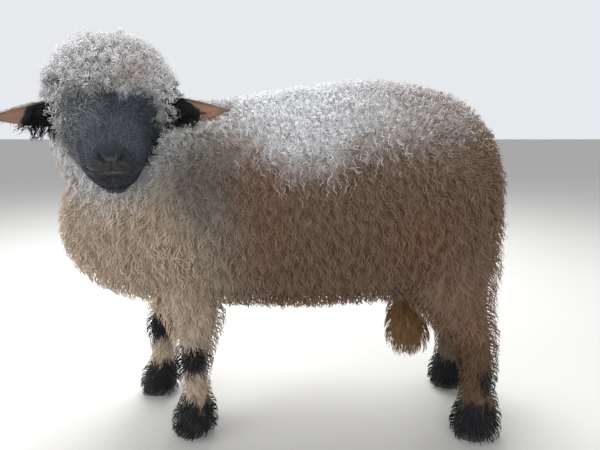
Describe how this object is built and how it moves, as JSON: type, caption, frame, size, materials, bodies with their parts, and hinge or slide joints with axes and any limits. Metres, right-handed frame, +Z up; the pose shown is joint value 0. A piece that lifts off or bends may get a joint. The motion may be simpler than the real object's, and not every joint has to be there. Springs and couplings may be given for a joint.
{
  "type": "valais blacknose sheep",
  "caption": "Still life-size model of a standing, fully woolled young blacknose ram with its head turned to its left.",
  "frame": {"origin": "on the floor under the middle of the animal's bounding box", "axes": "+X forward along the body, +Y to the animal's left, +Z up"},
  "size_m": [0.9943, 0.4795, 0.8269],
  "materials": {
    "body_fleece": "curly cream wool, dusted tan on the flanks",
    "face_and_cap": "short black face fur under a pale curly woollen cap",
    "ear_skin": "soft skin with short fur, brown-pink inside",
    "eye": "wet dark brown",
    "leg_wool": "short curly wool, black at knees, hocks and feet",
    "hoof_horn": "dull dark horn",
    "scrotum_wool": "short tan-brown wool"
  },
  "bodies": {
    "root": {"torso": "body_fleece", "neck": "body_fleece", "head": "face_and_cap", "ear_left": "ear_skin", "ear_right": "ear_skin", "eye_left": "eye", "eye_right": "eye", "leg_fore_left": "leg_wool", "leg_fore_right": "leg_wool", "leg_hind_left": "leg_wool", "leg_hind_right": "leg_wool", "claw_fore_left_outer": "hoof_horn", "claw_fore_left_inner": "hoof_horn", "claw_fore_right_outer": "hoof_horn", "claw_fore_right_inner": "hoof_horn", "claw_hind_left_outer": "hoof_horn", "claw_hind_left_inner": "hoof_horn", "claw_hind_right_outer": "hoof_horn", "claw_hind_right_inner": "hoof_horn", "tail": "body_fleece", "scrotum": "scrotum_wool"}
  },
  "joints": []
}
